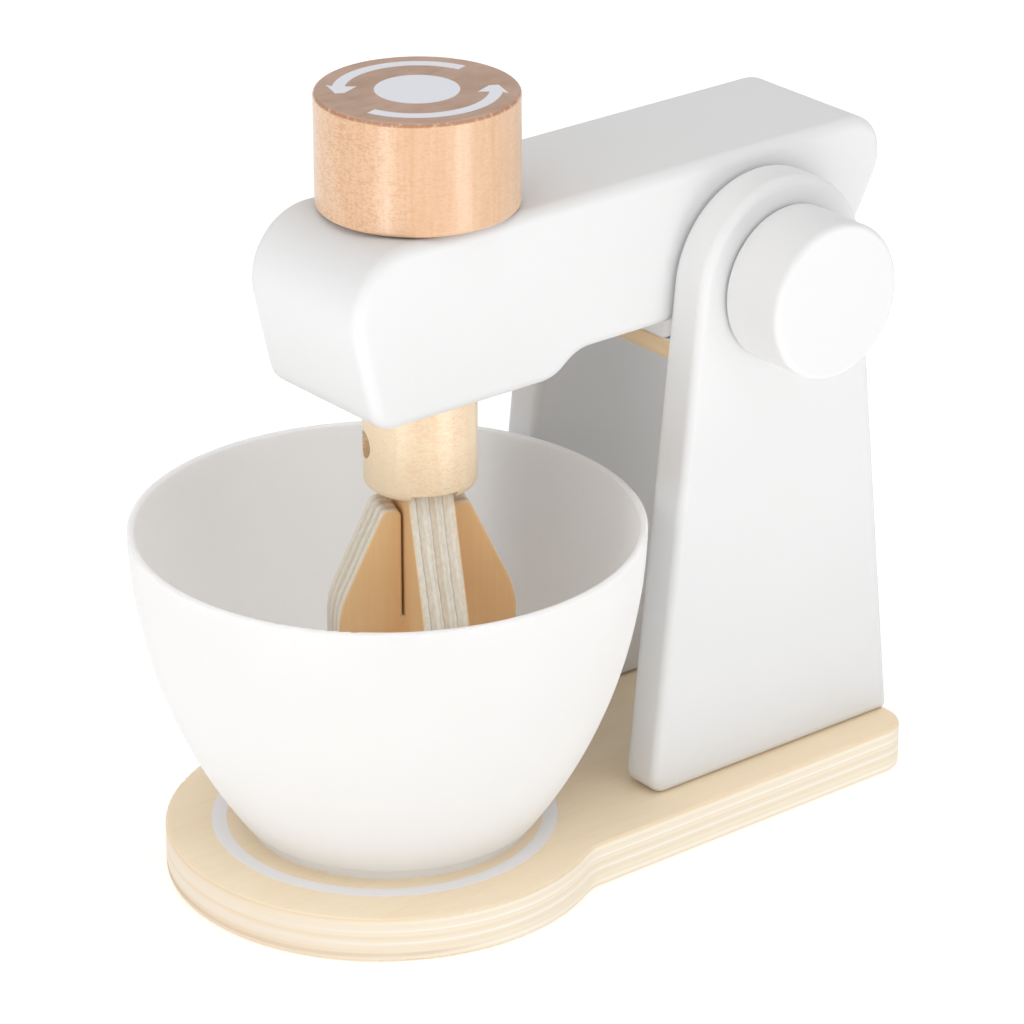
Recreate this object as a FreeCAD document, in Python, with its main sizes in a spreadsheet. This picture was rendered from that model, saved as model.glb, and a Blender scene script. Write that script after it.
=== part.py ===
import FreeCAD, Part
import os
import re
import Sketcher
from FreeCAD import Vector

# Wooden toy stand mixer: a bowl on a plywood base, and a tilting head between two posts.
# Frame: +Z up, nose towards -X, dial towards -Y, origin under the middle of the whole toy.
# Each body is drawn about its own datum and placed by formulas of the sizes below.

SIZES = [
    # base board: a round lobe under the bowl and a straight tail under the tower
    ("base_thick", 12.0),
    ("lobe_radius", 55.6),
    ("base_half_width", 47.5),
    ("rear_reach", 139.8),
    ("waist_radius", 12.0),
    ("rear_corner_radius", 9.5),
    ("base_edge_round", 0.9),
    # bowl: a bellied wall on a short foot, standing a little behind the lobe's middle
    ("bowl_shift", 2.0),
    ("bowl_height", 81.0),
    ("belly_reach", 64.5),
    ("belly_radius", 136.0),
    ("belly_level", 83.0),
    ("bowl_wall", 1.9),
    ("lip_round", 1.05),
    ("bowl_floor", 2.2),
    ("foot_step", 2.5),
    ("foot_height", 2.2),
    ("foot_flare_height", 3.6),
    ("foot_recess", 0.8),
    ("foot_ring_width", 4.0),
    ("floor_round", 11.0),
    # tower: two posts, and the stretcher board tenoned between them
    ("tower_reach", 99.0),
    ("post_thick", 12.0),
    ("near_post_face", 25.2),
    ("far_post_face", 21.2),
    ("post_foot_length", 82.4),
    ("pivot_height", 132.0),
    ("post_head_radius", 27.0),
    ("far_head_drop", 4.5),
    ("post_toe_round", 4.5),
    ("post_heel_round", 1.2),
    ("post_edge_round", 2.4),
    ("stretcher_thick", 5.0),
    ("stretcher_depth", 22.0),
    ("stretcher_setback", 1.4),
    ("stretcher_round", 0.6),
    ("tenon_length", 3.0),
    ("tenon_shoulder", 3.0),
    ("screw_spacing", 50.0),
    ("screw_radius", 2.0),
    ("screw_head_radius", 4.2),
    ("screw_head_height", 2.6),
    ("screw_length", 34.0),
    ("screw_sink", 0.6),
    # pivot: dial, axle and cap turn together in the posts
    ("axle_radius", 5.0),
    ("dial_radius", 20.2),
    ("dial_thick", 18.8),
    ("dial_gap", 0.5),
    ("dial_face_round", 1.5),
    ("dial_back_round", 1.0),
    ("dial_bore_depth", 14.0),
    ("cap_radius", 9.0),
    ("cap_thick", 5.0),
    ("cap_face_round", 1.5),
    ("cap_back_round", 0.5),
    ("cap_bore_depth", 3.5),
    ("spacer_radius", 10.0),
    # arm: its side outline is measured from the pivot
    ("arm_near_face", 24.8),
    ("arm_width", 43.6),
    ("arm_top_rise", 31.4),
    ("nose_top_reach", 128.8),
    ("nose_slant", 13.0),
    ("nose_top_radius", 17.0),
    ("nose_bottom_radius", 7.5),
    ("chin_drop", 14.6),
    ("chin_end_reach", 67.1),
    ("waist_drop", 8.8),
    ("waist_start_reach", 51.8),
    ("heel_setback", 0.4),
    ("heel_drop", 13.25),
    ("rest_gap", 0.05),
    ("tail_start_reach", 30.0),
    ("tail_reach", 44.0),
    ("tail_corner_rise", 17.5),
    ("tail_top_radius", 10.0),
    ("tail_corner_radius", 8.0),
    ("tail_foot_radius", 6.0),
    ("arm_edge_round", 3.0),
    # drive: knob, shaft and hub on one upright axis
    ("drive_reach", 10.1),
    ("knob_radius", 25.0),
    ("knob_height", 28.6),
    ("knob_round", 1.0),
    ("knob_bore_depth", 18.0),
    ("shaft_radius", 5.0),
    ("drive_gap", 0.5),
    ("drive_washer_radius", 10.5),
    ("hub_radius", 14.2),
    ("hub_drop", 41.9),
    ("hub_round", 2.6),
    ("hub_bore_floor", 5.0),
    ("hub_hole_radius", 3.5),
    ("hub_hole_depth", 4.5),
    ("hub_hole_rise", 12.0),
    ("hub_screw_radius", 1.5),
    ("hub_screw_head_radius", 3.0),
    ("hub_screw_head_height", 2.0),
    ("hub_screw_bite", 3.0),
    # beater: two plywood blades halved into each other
    ("blade_thick", 11.8),
    ("blade_turn", -112.0),
    ("blade_length", 62.3),
    ("blade_belly_radius", 23.1),
    ("blade_belly_straight", 4.2),
    ("blade_flank_turn", 24.7),
    ("blade_seat_depth", 2.2),
    ("blade_drop", 4.1),
    ("blade_corner_round", 2.0),
    ("blade_edge_round", 0.7),
    ("halving_play", 0.7),
    ("blade_dowel_radius", 3.0),
    ("blade_dowel_length", 16.0),
    # dowel ends and clearances
    ("dowel_ease", 0.5),
    ("running_fit", 0.05),
    ("glue_fit", 0.05),
]
ALIASES = {alias for alias, size in SIZES}

# Places that several bodies share, measured in the toy's frame.
LOBE_X = "((belly_reach - bowl_shift - max(rear_reach; tower_reach + tail_reach)) / 2)"
TOWER_X = f"({LOBE_X} + tower_reach)"
DRIVE_X = f"({LOBE_X} + drive_reach)"
PIVOT_Z = "(base_thick + pivot_height)"
ARM_MID_Y = "(arm_width / 2 - arm_near_face)"
ARM_TOP_Z = f"({PIVOT_Z} + arm_top_rise)"
CHIN_Z = f"({PIVOT_Z} - chin_drop)"
HUB_Z = f"({PIVOT_Z} - hub_drop)"
HUB_BOTTOM = "(pivot_height - hub_drop)"
BLADE_TOP = f"({HUB_BOTTOM} - blade_drop)"
KNOB_Z = f"({ARM_TOP_Z} + drive_gap)"
NEAR_OUTER_Y = "(near_post_face + post_thick)"
FAR_OUTER_Y = "(far_post_face + post_thick)"

# The stretcher's top lies just under the arm's heel, and its front edge follows the posts' slope.
STRETCHER_TOP = "(pivot_height - heel_drop - rest_gap)"
POST_LEAN = ("(atan(post_foot_length / 2 / pivot_height) - asin(post_head_radius"
             " / sqrt((post_foot_length / 2) ^ 2 + pivot_height ^ 2)))")
STRETCHER_FRONT = f"(stretcher_setback - post_foot_length / 2 + {STRETCHER_TOP} * tan{POST_LEAN})"

doc = FreeCAD.newDocument("ToyMixer")
sheet = doc.addObject("Spreadsheet::Sheet", "Sizes")
for row, (alias, size) in enumerate(SIZES, start=1):
    sheet.set(f"A{row}", alias)
    sheet.set(f"B{row}", str(size))
    sheet.setAlias(f"B{row}", alias)
doc.recompute()


def formula(text):
    """The text with every size's name pointed at the sheet."""
    return re.sub(r"[a-z_]+", lambda word: f"Sizes.{word[0]}" if word[0] in ALIASES else word[0], text)


def value(text):
    """The number that a formula of the sizes gives now."""
    result = sheet.evalExpression(formula(text))
    return float(getattr(result, "Value", result))


def bind(thing, formulas):
    for path, text in formulas.items():
        thing.setExpression(path, formula(text))
    return thing


def place(thing, x="0", y="0", z="0", turn="0"):
    bind(thing, {"Placement.Base.x": x, "Placement.Base.y": y, "Placement.Base.z": z})
    if turn != "0":
        bind(thing, {"Placement.Rotation.Angle": turn})
    return thing


def new_body(label):
    body = doc.addObject("PartDesign::Body", label)
    body.Label = label
    return body


def new_sketch(body, role, name, offset="0"):
    """Sketch on one of the body's own origin planes, moved along that plane's normal."""
    sketch = body.newObject("Sketcher::SketchObject", name)
    sketch.AttachmentSupport = [(next(p for p in body.Origin.OriginFeatures if p.Role == role), "")]
    sketch.MapMode = "FlatFace"
    return bind(sketch, {"AttachmentOffset.Base.z": offset})


def pin(sketch, kind, places, text):
    """Add a dimension whose size follows a formula."""
    index = sketch.addConstraint(Sketcher.Constraint(kind, *places, value(text)))
    sketch.setExpression(f"Constraints[{index}]", formula(text))


def add_circle(sketch, radius, x="0", y="0"):
    circle = Part.Circle(Vector(value(x), value(y), 0), Vector(0, 0, 1), value(radius))
    edge = sketch.addGeometry(circle)
    pin(sketch, "Radius", (edge,), radius)
    pin(sketch, "DistanceX", (-1, 1, edge, 3), x)
    pin(sketch, "DistanceY", (-1, 1, edge, 3), y)


def bent(start, end, radius):
    """Arc that turns left on its way between two points."""
    chord = end - start
    half = chord.Length / 2
    rise = radius - (radius ** 2 - half ** 2) ** 0.5
    side = Vector(chord.y, -chord.x, 0).normalize() * rise
    return Part.Arc(start, (start + end) / 2 + side, end)


def add_outline(sketch, corners):
    """Closed outline. A corner is (x, y), or (x, y, radius) where the edge that leaves it is an arc:
    a positive radius turns left on the way, and a negative one turns right."""
    points = [Vector(value(corner[0]), value(corner[1]), 0) for corner in corners]
    heads = []
    tails = []
    for index, corner in enumerate(corners):
        start = points[index]
        end = points[(index + 1) % len(points)]
        radius = value(corner[2]) if len(corner) == 3 else 0
        if radius == 0:
            edge = sketch.addGeometry(Part.LineSegment(start, end))
        elif radius > 0:
            edge = sketch.addGeometry(bent(start, end, radius))
        else:
            edge = sketch.addGeometry(bent(end, start, -radius))
        if radius:
            pin(sketch, "Radius", (edge,), f"abs({corner[2]})")
        heads.append((edge, 2 if radius < 0 else 1))
        tails.append((edge, 1 if radius < 0 else 2))
    for index, corner in enumerate(corners):
        sketch.addConstraint(Sketcher.Constraint("Coincident", *tails[index - 1], *heads[index]))
        pin(sketch, "DistanceX", (-1, 1, *heads[index]), corner[0])
        pin(sketch, "DistanceY", (-1, 1, *heads[index]), corner[1])


def add_box(sketch, x_low, x_high, y_low, y_high):
    add_outline(sketch, [(x_low, y_low), (x_high, y_low), (x_high, y_high), (x_low, y_high)])


def add_feature(body, kind, name, sketch, length, **settings):
    feature = body.newObject(f"PartDesign::{kind}", name)
    feature.Profile = sketch
    sketch.Visibility = False
    for setting, choice in settings.items():
        setattr(feature, setting, choice)
    if length:
        bind(feature, {"Length": length})
    doc.recompute()
    return feature


def pad(body, name, sketch, length, **settings):
    return add_feature(body, "Pad", name, sketch, length, **settings)


def pocket(body, name, sketch, length=None, **settings):
    """Cut a sketch out of the body, and make sure that the cut meets it."""
    before = body.Shape.Volume
    if length is None:
        settings["Type"] = "ThroughAll"
    feature = add_feature(body, "Pocket", name, sketch, length, **settings)
    if feature.Shape.Volume > before - 1e-3:
        raise RuntimeError(f"{name} cuts nothing from {body.Label}")
    return feature


def round_edges(body, name, radius, wanted):
    """Round the edges of the body's last feature that the test picks."""
    base = body.Tip
    names = [f"Edge{i}" for i, edge in enumerate(base.Shape.Edges, start=1) if wanted(edge)]
    feature = body.newObject("PartDesign::Fillet", name)
    feature.Base = (base, names)
    bind(feature, {"Radius": radius})
    doc.recompute()
    return feature


def near_to(first, second):
    return abs(first - second) < 1e-4


def lies_in(axis, *levels):
    """Test for edges that lie flat in one of the planes across an axis."""
    def wanted(edge):
        box = edge.BoundBox
        low = getattr(box, f"{axis}Min")
        high = getattr(box, f"{axis}Max")
        return near_to(low, high) and any(near_to(low, value(level)) for level in levels)
    return wanted


def runs_along(axis, *spots):
    """Test for straight edges along an axis through one of the spots across it."""
    across = [name for name in "xyz" if name != axis]
    targets = [(value(first), value(second)) for first, second in spots]

    def wanted(edge):
        start = edge.Vertexes[0].Point
        end = edge.Vertexes[-1].Point
        if not all(near_to(getattr(start, name), getattr(end, name)) for name in across):
            return False
        here = [getattr(start, name) for name in across]
        return any(near_to(here[0], first) and near_to(here[1], second) for first, second in targets)
    return wanted


def ring(label, radius, bore, height):
    """Flat washer made as one cylinder cut from another."""
    outer = doc.addObject("Part::Cylinder", f"{label}_outer")
    inner = doc.addObject("Part::Cylinder", f"{label}_bore")
    bind(outer, {"Radius": radius, "Height": height})
    bind(inner, {"Radius": bore, "Height": height})
    washer = doc.addObject("Part::Cut", label)
    washer.Base = outer
    washer.Tool = inner
    washer.Label = label
    return washer


def dowel(label, radius, length):
    """Round rod with both ends eased."""
    rod = doc.addObject("Part::Cylinder", f"{label}_rod")
    bind(rod, {"Radius": radius, "Height": length})
    doc.recompute()
    eased = doc.addObject("Part::Chamfer", label)
    eased.Base = rod
    ease = value("dowel_ease")
    ends = [i for i, edge in enumerate(rod.Shape.Edges, start=1) if edge.Closed]
    eased.Edges = [(i, ease, ease) for i in ends]
    eased.Label = label
    return eased


# ---- base board ----

def make_base():
    body = new_body("base_board")
    lobe = new_sketch(body, "XY_Plane", "base_lobe_sketch")
    add_circle(lobe, "lobe_radius")
    pad(body, "base_lobe", lobe, "base_thick")
    tail = new_sketch(body, "XY_Plane", "base_tail_sketch")
    add_box(tail, "0", "rear_reach", "-base_half_width", "base_half_width")
    pad(body, "base_tail", tail, "base_thick")
    waist_x = "sqrt(lobe_radius ^ 2 - base_half_width ^ 2)"
    sides = ("base_half_width", "-base_half_width")
    round_edges(body, "base_waist", "waist_radius", runs_along("z", *[(waist_x, side) for side in sides]))
    round_edges(body, "base_corners", "rear_corner_radius",
                runs_along("z", *[("rear_reach", side) for side in sides]))
    round_edges(body, "base_edges", "base_edge_round", lies_in("Z", "0", "base_thick"))
    holes = new_sketch(body, "XY_Plane", "base_holes_sketch")
    for x, y in screw_spots():
        add_circle(holes, "screw_radius + glue_fit", f"tower_reach + {x}", y)
    pocket(body, "base_holes", holes, Reversed=True)
    for index, (x, y) in enumerate(screw_spots()):
        sink = body.newObject("PartDesign::SubtractiveCone", f"base_sink_{index}")
        flare = "(screw_head_radius - screw_radius) / screw_head_height"
        bind(sink, {
            "Radius1": f"screw_head_radius + glue_fit + screw_sink * {flare}",
            "Radius2": "screw_radius + glue_fit",
            "Height": "screw_head_height + screw_sink",
            "AttachmentOffset.Base.x": f"tower_reach + {x}",
            "AttachmentOffset.Base.y": y,
        })
        sink.AttachmentSupport = [(next(p for p in body.Origin.OriginFeatures if p.Role == "XY_Plane"), "")]
        sink.MapMode = "FlatFace"
        doc.recompute()
    body.Tip = sink
    return place(body, x=LOBE_X)


def screw_spots():
    """Two screws up into each post, measured from the tower's middle and the bowl's axis."""
    posts = ("-(near_post_face + post_thick / 2)", "(far_post_face + post_thick / 2)")
    return [(f"{side} * screw_spacing / 2", y) for y in posts for side in ("-1", "1")]


def make_post_screws():
    """Countersunk screws from under the base, all of one node."""
    screws = []
    for index, (x, y) in enumerate(screw_spots()):
        head = doc.addObject("Part::Cone", f"screw_head_{index}")
        shank = doc.addObject("Part::Cylinder", f"screw_shank_{index}")
        bind(head, {"Radius1": "screw_head_radius", "Radius2": "screw_radius", "Height": "screw_head_height"})
        bind(shank, {"Radius": "screw_radius", "Height": "screw_length"})
        screw = doc.addObject("Part::Fuse", f"screw_{index}")
        screw.Base = head
        screw.Tool = shank
        place(screw, f"{TOWER_X} + {x}", y, "screw_sink")
        screws.append(screw)
    group = doc.addObject("Part::Compound", "post_screws")
    group.Links = screws
    group.Label = "post_screws"
    return group


# ---- tower ----

def make_post(label, head_height, near_side):
    """Board with sides tangent to its round head; the near post's inner face looks towards +Y."""
    body = new_body(label)
    half = "(post_foot_length / 2)"
    lean = f"(atan({half} / ({head_height})) - asin(post_head_radius / sqrt({half} ^ 2 + ({head_height}) ^ 2)))"
    cheek_x = f"post_head_radius * cos{lean}"
    cheek_z = f"{head_height} + post_head_radius * sin{lean}"
    side = new_sketch(body, "XZ_Plane", f"{label}_sketch")
    add_outline(side, [
        (f"-{half}", "0"),
        (half, "0"),
        (cheek_x, cheek_z, "post_head_radius"),
        (f"-{cheek_x}", cheek_z),
    ])
    pad(body, f"{label}_board", side, "post_thick", Reversed=not near_side)
    round_edges(body, f"{label}_toe", "post_toe_round", runs_along("y", (f"-{half}", "0")))
    round_edges(body, f"{label}_heel", "post_heel_round", runs_along("y", (half, "0")))
    outer = "-post_thick" if near_side else "post_thick"
    round_edges(body, f"{label}_edges", "post_edge_round", lies_in("Y", "0", outer))

    bore = new_sketch(body, "XZ_Plane", f"{label}_bore_sketch")
    add_circle(bore, "axle_radius + running_fit", "0", "pivot_height")
    pocket(body, f"{label}_bore", bore, Reversed=near_side)
    mortise = new_sketch(body, "XZ_Plane", f"{label}_mortise_sketch")
    add_box(mortise, f"{STRETCHER_FRONT} + tenon_shoulder - glue_fit",
            f"{STRETCHER_FRONT} + stretcher_depth - tenon_shoulder + glue_fit",
            f"{STRETCHER_TOP} - stretcher_thick - glue_fit", f"{STRETCHER_TOP} + glue_fit")
    pocket(body, f"{label}_mortise", mortise, "tenon_length + glue_fit", Reversed=near_side)
    pilots = new_sketch(body, "XY_Plane", f"{label}_pilots_sketch")
    for way in ("-1", "1"):
        add_circle(pilots, "screw_radius", f"{way} * screw_spacing / 2", f"{outer} / 2")
    pocket(body, f"{label}_pilots", pilots, "screw_length + screw_sink - base_thick + glue_fit", Reversed=True)
    face = "-near_post_face" if near_side else "far_post_face"
    return place(body, TOWER_X, face, "base_thick")


def make_stretcher():
    body = new_body("stretcher_board")
    plan = new_sketch(body, "XY_Plane", "stretcher_sketch")
    near = "-near_post_face"
    far = "far_post_face"
    tenon_front = "tenon_shoulder"
    tenon_back = "stretcher_depth - tenon_shoulder"
    add_outline(plan, [
        ("0", near),
        (tenon_front, near),
        (tenon_front, f"{near} - tenon_length"),
        (tenon_back, f"{near} - tenon_length"),
        (tenon_back, near),
        ("stretcher_depth", near),
        ("stretcher_depth", far),
        (tenon_back, far),
        (tenon_back, f"{far} + tenon_length"),
        (tenon_front, f"{far} + tenon_length"),
        (tenon_front, far),
        ("0", far),
    ])
    pad(body, "stretcher_pad", plan, "stretcher_thick")
    round_edges(body, "stretcher_edges", "stretcher_round", runs_along(
        "y", *[(x, z) for x in ("0", "stretcher_depth") for z in ("0", "stretcher_thick")]))
    return place(body, f"{TOWER_X} + {STRETCHER_FRONT}", "0",
                 f"base_thick + {STRETCHER_TOP} - stretcher_thick")


# ---- pivot ----

def make_axle():
    length = f"({NEAR_OUTER_Y} + {FAR_OUTER_Y} + 2 * dial_gap + dial_bore_depth + cap_bore_depth - 2 * glue_fit)"
    axle = dowel("axle", "axle_radius", length)
    axle.Placement.Rotation = FreeCAD.Rotation(Vector(1, 0, 0), -90)
    start = f"glue_fit - {NEAR_OUTER_Y} - dial_gap - dial_bore_depth"
    return place(axle, TOWER_X, start, PIVOT_Z)


def make_button(label, name, near_side):
    """Round wooden button on one end of the axle, with its face away from the posts."""
    body = new_body(label)
    disc = new_sketch(body, "XZ_Plane", f"{name}_sketch")
    add_circle(disc, f"{name}_radius")
    pad(body, f"{name}_pad", disc, f"{name}_thick", Reversed=not near_side)
    face = f"-{name}_thick" if near_side else f"{name}_thick"
    round_edges(body, f"{name}_face", f"{name}_face_round", lies_in("Y", face))
    round_edges(body, f"{name}_back", f"{name}_back_round", lies_in("Y", "0"))
    bore = new_sketch(body, "XZ_Plane", f"{name}_bore_sketch")
    add_circle(bore, "axle_radius + glue_fit")
    pocket(body, f"{name}_bore", bore, f"{name}_bore_depth", Reversed=near_side)
    seat = f"-({NEAR_OUTER_Y} + dial_gap)" if near_side else f"{FAR_OUTER_Y} + dial_gap"
    return place(body, TOWER_X, seat, PIVOT_Z)


def make_spacer():
    """Spacer ring that fills the arm's play on its far side."""
    height = "(far_post_face - arm_width + arm_near_face - running_fit)"
    spacer = ring("pivot_spacer", "spacer_radius", "axle_radius + running_fit", height)
    spacer.Placement.Rotation = FreeCAD.Rotation(Vector(1, 0, 0), 90)
    return place(spacer, TOWER_X, "far_post_face", PIVOT_Z)


# ---- arm ----

def make_arm():
    """Head of the mixer, drawn from the pivot: slanted nose, S-step under it, heel that rests on the
    stretcher and swings past its back edge, and raked tail."""
    body = new_body("arm")
    chin_front = "(nose_top_reach - (arm_top_rise + chin_drop) * tan(nose_slant))"
    step_length = "(chin_end_reach - waist_start_reach)"
    step_rise = "(chin_drop - waist_drop)"
    step_radius = f"({step_length} ^ 2 + {step_rise} ^ 2) / 4 / {step_rise}"
    heel_front = f"({STRETCHER_FRONT} + heel_setback)"
    side = new_sketch(body, "XZ_Plane", "arm_sketch")
    add_outline(side, [
        (f"-{chin_front}", "-chin_drop"),
        ("-chin_end_reach", "-chin_drop", step_radius),
        ("-(chin_end_reach + waist_start_reach) / 2", "-(chin_drop + waist_drop) / 2", f"-{step_radius}"),
        ("-waist_start_reach", "-waist_drop"),
        (heel_front, "-waist_drop"),
        (heel_front, "-heel_drop"),
        ("0", "-heel_drop", "heel_drop"),
        ("sqrt(heel_drop ^ 2 - waist_drop ^ 2)", "-waist_drop"),
        ("tail_start_reach", "-waist_drop"),
        ("tail_reach", "tail_corner_rise"),
        ("tail_reach", "arm_top_rise"),
        ("-nose_top_reach", "arm_top_rise"),
    ])
    pad(body, "arm_block", side, "arm_width", Midplane=True)
    roundings = [
        ("nose_top", "nose_top_radius", "-nose_top_reach", "arm_top_rise"),
        ("nose_bottom", "nose_bottom_radius", f"-{chin_front}", "-chin_drop"),
        ("tail_top", "tail_top_radius", "tail_reach", "arm_top_rise"),
        ("tail_corner", "tail_corner_radius", "tail_reach", "tail_corner_rise"),
        ("tail_foot", "tail_foot_radius", "tail_start_reach", "-waist_drop"),
    ]
    for name, radius, x, z in roundings:
        round_edges(body, f"arm_{name}", radius, runs_along("y", (x, z)))
    round_edges(body, "arm_edges", "arm_edge_round", lies_in("Y", "-arm_width / 2", "arm_width / 2"))
    bore = new_sketch(body, "XZ_Plane", "arm_pivot_sketch", "-arm_width")
    add_circle(bore, "axle_radius + running_fit")
    pocket(body, "arm_pivot_bore", bore, "2 * arm_width", Reversed=True)
    well = new_sketch(body, "XY_Plane", "arm_drive_sketch", "-arm_top_rise")
    add_circle(well, "shaft_radius + running_fit", "drive_reach - tower_reach")
    pocket(body, "arm_drive_bore", well, Reversed=True)
    return place(body, TOWER_X, ARM_MID_Y, PIVOT_Z)


# ---- drive ----

def make_knob():
    body = new_body("top_knob")
    disc = new_sketch(body, "XY_Plane", "knob_sketch")
    add_circle(disc, "knob_radius")
    pad(body, "knob_pad", disc, "knob_height")
    round_edges(body, "knob_edges", "knob_round", lies_in("Z", "0", "knob_height"))
    bore = new_sketch(body, "XY_Plane", "knob_bore_sketch")
    add_circle(bore, "shaft_radius + glue_fit")
    pocket(body, "knob_bore", bore, "knob_bore_depth", Reversed=True)
    return place(body, DRIVE_X, ARM_MID_Y, KNOB_Z)


def make_shaft():
    """Dowel from the hub's bore to the knob's, with a pilot hole for the hub's screw."""
    body = new_body("drive_shaft")
    disc = new_sketch(body, "XY_Plane", "shaft_sketch")
    add_circle(disc, "shaft_radius")
    pad(body, "shaft_pad", disc, f"{KNOB_Z} + knob_bore_depth - glue_fit - {HUB_Z} - hub_bore_floor")
    round_edges(body, "shaft_ends", "dowel_ease", lambda edge: edge.Closed)
    pilot = new_sketch(body, "XZ_Plane", "shaft_pilot_sketch", "shaft_radius - hub_screw_bite")
    add_circle(pilot, "hub_screw_radius", "0", "hub_hole_rise - hub_bore_floor")
    pocket(body, "shaft_pilot", pilot, "shaft_radius", Reversed=True)
    return place(body, DRIVE_X, ARM_MID_Y, f"{HUB_Z} + hub_bore_floor", "blade_turn")


def make_drive_washers():
    for label, z in (("knob_washer", ARM_TOP_Z), ("hub_washer", f"{CHIN_Z} - drive_gap + running_fit")):
        washer = ring(label, "drive_washer_radius", "shaft_radius + running_fit", "drive_gap - running_fit")
        place(washer, DRIVE_X, ARM_MID_Y, z)


def make_hub():
    """Hub with a seat across its underside for one blade and a screw hole square to that seat."""
    body = new_body("beater_hub")
    disc = new_sketch(body, "XY_Plane", "hub_sketch")
    add_circle(disc, "hub_radius")
    pad(body, "hub_pad", disc, f"{CHIN_Z} - drive_gap - {HUB_Z}")
    round_edges(body, "hub_foot", "hub_round", lies_in("Z", "0"))
    bore = new_sketch(body, "XY_Plane", "hub_bore_sketch", "hub_bore_floor")
    add_circle(bore, "shaft_radius + glue_fit")
    pocket(body, "hub_bore", bore, Reversed=True)
    seat = new_sketch(body, "XY_Plane", "hub_seat_sketch")
    half = "(blade_thick / 2 + glue_fit)"
    add_box(seat, "-2 * hub_radius", "2 * hub_radius", f"-{half}", half)
    pocket(body, "hub_seat", seat, "blade_seat_depth", Reversed=True)
    peg = new_sketch(body, "XY_Plane", "hub_dowel_sketch")
    add_circle(peg, "blade_dowel_radius + glue_fit")
    pocket(body, "hub_dowel_bore", peg, "hub_bore_floor", Reversed=True)
    hole = new_sketch(body, "XZ_Plane", "hub_hole_sketch", "hub_radius - hub_hole_depth")
    add_circle(hole, "hub_hole_radius", "0", "hub_hole_rise")
    pocket(body, "hub_hole", hole, "hub_hole_depth", Reversed=True)
    pilot = new_sketch(body, "XZ_Plane", "hub_pilot_sketch")
    add_circle(pilot, "hub_screw_radius + glue_fit", "0", "hub_hole_rise")
    pocket(body, "hub_pilot", pilot, "hub_radius", Reversed=True)
    return place(body, DRIVE_X, ARM_MID_Y, HUB_Z, "blade_turn")


# ---- beater ----

def make_blade(label, top, turn, slot_up):
    """Pear-shaped board with its half of the cross-halving, cut from the top or from the bottom."""
    body = new_body(label)
    bottom = f"({HUB_BOTTOM} - blade_length)"
    belly_low = f"({bottom} + blade_belly_radius)"
    belly_high = f"({belly_low} + blade_belly_straight)"
    flank_x = "blade_belly_radius * cos(blade_flank_turn)"
    flank_z = f"({belly_high} + blade_belly_radius * sin(blade_flank_turn))"
    top_x = f"({flank_x} - ({top} - {flank_z}) * tan(blade_flank_turn))"
    side = new_sketch(body, "XZ_Plane", f"{label}_sketch")
    add_outline(side, [
        ("0", bottom, "blade_belly_radius"),
        ("blade_belly_radius", belly_low),
        ("blade_belly_radius", belly_high, "blade_belly_radius"),
        (flank_x, flank_z),
        (top_x, top),
        (f"-{top_x}", top),
        (f"-{flank_x}", flank_z, "blade_belly_radius"),
        ("-blade_belly_radius", belly_high),
        ("-blade_belly_radius", belly_low, "blade_belly_radius"),
    ])
    pad(body, f"{label}_board", side, "blade_thick", Midplane=True)
    halving = f"({bottom} + {BLADE_TOP}) / 2"
    low, high = (halving, f"2 * {HUB_BOTTOM}") if slot_up else ("0", halving)
    cross = new_sketch(body, "XZ_Plane", f"{label}_slot_sketch")
    add_box(cross, "-(blade_thick / 2 + halving_play)", "(blade_thick / 2 + glue_fit)", low, high)
    pocket(body, f"{label}_slot", cross, "2 * blade_thick", Midplane=True)
    corners = [(f"{way} * {top_x}", top) for way in ("-1", "1")]
    corner_round = "blade_corner_round"
    if slot_up:
        corners += [("-(blade_thick / 2 + halving_play)", top), ("(blade_thick / 2 + glue_fit)", top)]
        # each horn beside the slot carries two of these fillets, so its width limits them
        horn = f"({top_x} - blade_thick / 2 - halving_play)"
        corner_round = f"min(blade_corner_round; 0.45 * {horn})"
    round_edges(body, f"{label}_corners", corner_round, runs_along("y", *corners))
    faces = lies_in("Y", "-blade_thick / 2", "blade_thick / 2")
    reach = value("blade_thick / 2 + halving_play")
    round_edges(body, f"{label}_edges", "blade_edge_round",
                lambda edge: faces(edge) and abs(edge.CenterOfMass.x) > reach)
    if not slot_up:
        peg = new_sketch(body, "XY_Plane", f"{label}_dowel_sketch", top)
        add_circle(peg, "blade_dowel_radius + glue_fit")
        depth = "blade_dowel_length - hub_bore_floor + blade_seat_depth + glue_fit"
        pocket(body, f"{label}_dowel_bore", peg, depth)
    return place(body, DRIVE_X, ARM_MID_Y, "base_thick", turn)


def make_blade_dowel():
    peg = dowel("blade_dowel", "blade_dowel_radius", "blade_dowel_length")
    return place(peg, DRIVE_X, ARM_MID_Y, f"{HUB_Z} + hub_bore_floor - blade_dowel_length")


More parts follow.
